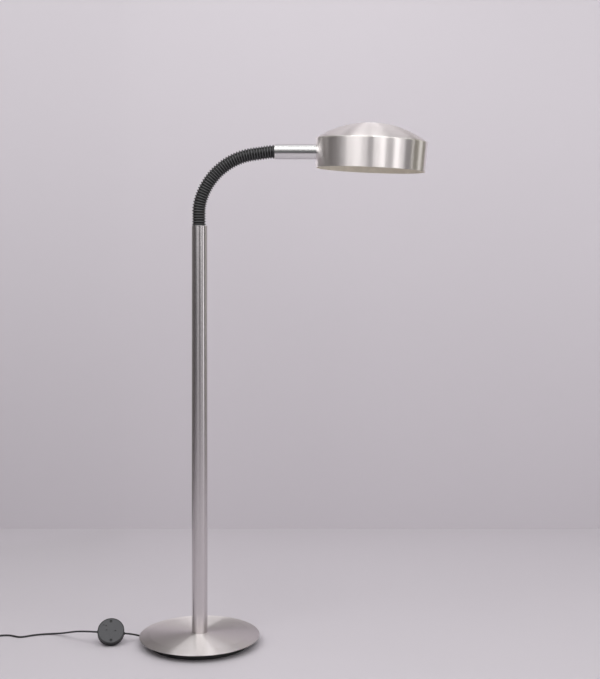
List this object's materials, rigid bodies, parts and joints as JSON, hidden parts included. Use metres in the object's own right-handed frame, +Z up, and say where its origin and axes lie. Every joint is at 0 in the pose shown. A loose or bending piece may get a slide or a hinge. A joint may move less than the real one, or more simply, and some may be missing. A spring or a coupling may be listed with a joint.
{
  "type": "gooseneck reading floor lamp",
  "caption": "Floor lamp with a round weighted base, straight pole, flexible ribbed neck, short arm and shallow domed drum shade, with a foot switch on its cord.",
  "frame": {"origin": "middle of the flat underside of the base, on the floor, under the axis of the pole", "axes": "+Z up along the pole, +X from the pole towards the shade, +Y away from the viewer"},
  "size_m": [1.1466, 0.29, 1.259],
  "materials": {
    "base_aluminium": "spun and finely turned, satin",
    "black_plastic": "moulded, satin black",
    "cast_weight": "as cast, painted dark",
    "floor_mat": "foam rubber, dull",
    "cord_rubber": "smooth dark sheath",
    "pole_steel": "drawn tube, satin with fine cross scratches",
    "turned_steel": "turned",
    "arm_steel": "drawn tube, brighter satin",
    "turned_aluminium": "turned",
    "shade_aluminium": "spun and turned, satin outside, cream paint inside",
    "brass_fittings": "turned",
    "lampholder_plastic": "moulded black",
    "bulb_glass": "opal, smooth",
    "switch_plastic": "moulded dark grey",
    "switch_plate_plastic": "moulded mid grey",
    "spring_steel": "bright wire",
    "black_screws": "blackened cross-head screws",
    "plug_plastic": "moulded black",
    "pin_brass": "nickel plated",
    "hose_plastic": "ribbed hose, glossy black",
    "neck_steel": "machined, oiled"
  },
  "bodies": {
    "stand": {"base_cover": "base_aluminium", "base_tray": "black_plastic", "base_weight": "cast_weight", "base_mat": "floor_mat", "cord_gland": "cord_rubber", "pole": "pole_steel", "pole_foot_plug": "turned_steel", "pole_nut": "turned_steel", "pole_top_plug": "turned_steel", "pole_lead": "cord_rubber", "neck_lead": "cord_rubber", "switch_housing": "switch_plastic", "switch_base": "switch_plate_plastic", "switch_spring": "spring_steel", "switch_screws": "black_screws", "cord_to_switch": "cord_rubber", "cord_to_coil": "cord_rubber", "cord_coil": "cord_rubber", "plug_body": "plug_plastic", "plug_pins": "pin_brass", "neck_cover_01": "hose_plastic", "neck_core_01": "neck_steel"},
    "neck_link_02": {"neck_cover_02": "hose_plastic", "neck_core_02": "neck_steel"},
    "neck_link_03": {"neck_cover_03": "hose_plastic", "neck_core_03": "neck_steel"},
    "neck_link_04": {"neck_cover_04": "hose_plastic", "neck_core_04": "neck_steel"},
    "neck_link_05": {"neck_cover_05": "hose_plastic", "neck_core_05": "neck_steel"},
    "neck_link_06": {"neck_cover_06": "hose_plastic", "neck_core_06": "neck_steel"},
    "neck_link_07": {"neck_cover_07": "hose_plastic", "neck_core_07": "neck_steel"},
    "neck_link_08": {"neck_cover_08": "hose_plastic", "neck_core_08": "neck_steel"},
    "neck_link_09": {"neck_cover_09": "hose_plastic", "neck_core_09": "neck_steel"},
    "neck_link_10": {"neck_cover_10": "hose_plastic", "neck_core_10": "neck_steel"},
    "neck_link_11": {"neck_cover_11": "hose_plastic", "neck_core_11": "neck_steel"},
    "neck_link_12": {"neck_cover_12": "hose_plastic", "neck_core_12": "neck_steel"},
    "neck_link_13": {"neck_cover_13": "hose_plastic", "neck_core_13": "neck_steel"},
    "neck_link_14": {"neck_cover_14": "hose_plastic", "neck_core_14": "neck_steel"},
    "head": {"arm_tube": "arm_steel", "arm_plug": "turned_aluminium", "arm_end_plug": "turned_aluminium", "head_lead": "cord_rubber", "shade": "shade_aluminium", "shade_nut": "brass_fittings", "lampholder": "lampholder_plastic", "bulb_cap": "turned_aluminium", "bulb_glass": "bulb_glass", "neck_cover_15": "hose_plastic", "neck_core_15": "neck_steel"},
    "foot_button": {"switch_button": "switch_plastic"}
  },
  "joints": [
    {"name": "neck_bend_01", "type": "hinge", "parent": "stand", "child": "neck_link_02", "pos_m": [-0.0017, 0, 1.0295], "axis": [0, 1, 0], "range_deg": [-12.6, 12.6], "deforming": ["neck_lead"]},
    {"name": "neck_side_02", "type": "hinge", "parent": "neck_link_02", "child": "neck_link_03", "pos_m": [-0.00147, 0, 1.04899], "axis": [0.9963, 0, -0.0856], "range_deg": [-10, 10]},
    {"name": "neck_bend_03", "type": "hinge", "parent": "neck_link_03", "child": "neck_link_04", "pos_m": [0.00163, 0, 1.06822], "axis": [0, 1, 0], "range_deg": [-12.6, 3.5]},
    {"name": "neck_bend_04", "type": "hinge", "parent": "neck_link_04", "child": "neck_link_05", "pos_m": [0.00772, 0, 1.08673], "axis": [0, 1, 0], "range_deg": [-12.6, 5.4]},
    {"name": "neck_side_05", "type": "hinge", "parent": "neck_link_05", "child": "neck_link_06", "pos_m": [0.0161, 0, 1.10433], "axis": [0.8742, 0, -0.4856], "range_deg": [-10, 10]},
    {"name": "neck_bend_06", "type": "hinge", "parent": "neck_link_06", "child": "neck_link_07", "pos_m": [0.02661, 0, 1.12073], "axis": [0, 1, 0], "range_deg": [-12.6, 5.4]},
    {"name": "neck_bend_07", "type": "hinge", "parent": "neck_link_07", "child": "neck_link_08", "pos_m": [0.0391, 0, 1.13569], "axis": [0, 1, 0], "range_deg": [-12.6, 5.4]},
    {"name": "neck_side_08", "type": "hinge", "parent": "neck_link_08", "child": "neck_link_09", "pos_m": [0.05337, 0, 1.14896], "axis": [0.6337, 0, -0.7736], "range_deg": [-10, 10]},
    {"name": "neck_bend_09", "type": "hinge", "parent": "neck_link_09", "child": "neck_link_10", "pos_m": [0.06919, 0, 1.16034], "axis": [0, 1, 0], "range_deg": [-12.6, 5.4]},
    {"name": "neck_bend_10", "type": "hinge", "parent": "neck_link_10", "child": "neck_link_11", "pos_m": [0.08632, 0, 1.16964], "axis": [0, 1, 0], "range_deg": [-12.6, 5.4]},
    {"name": "neck_side_11", "type": "hinge", "parent": "neck_link_11", "child": "neck_link_12", "pos_m": [0.10447, 0, 1.17672], "axis": [0.304, 0, -0.9527], "range_deg": [-10, 10]},
    {"name": "neck_bend_12", "type": "hinge", "parent": "neck_link_12", "child": "neck_link_13", "pos_m": [0.12337, 0, 1.18147], "axis": [0, 1, 0], "range_deg": [-12.6, 6.9]},
    {"name": "neck_bend_13", "type": "hinge", "parent": "neck_link_13", "child": "neck_link_14", "pos_m": [0.14265, 0, 1.18442], "axis": [0, 1, 0], "range_deg": [-12.6, 12.6]},
    {"name": "neck_side_14", "type": "hinge", "parent": "neck_link_14", "child": "head", "pos_m": [0.16194, 0, 1.18727], "axis": [0.1097, 0, -0.994], "range_deg": [-10, 10]},
    {"name": "foot_button_press", "type": "slide", "parent": "stand", "child": "foot_button", "axis": [0.1118, -0.7057, 0.6997], "range_m": [0, 0.004], "stiffness_N_per_m": 800, "springref_m": -0.003, "deforming": ["switch_spring"]}
  ]
}
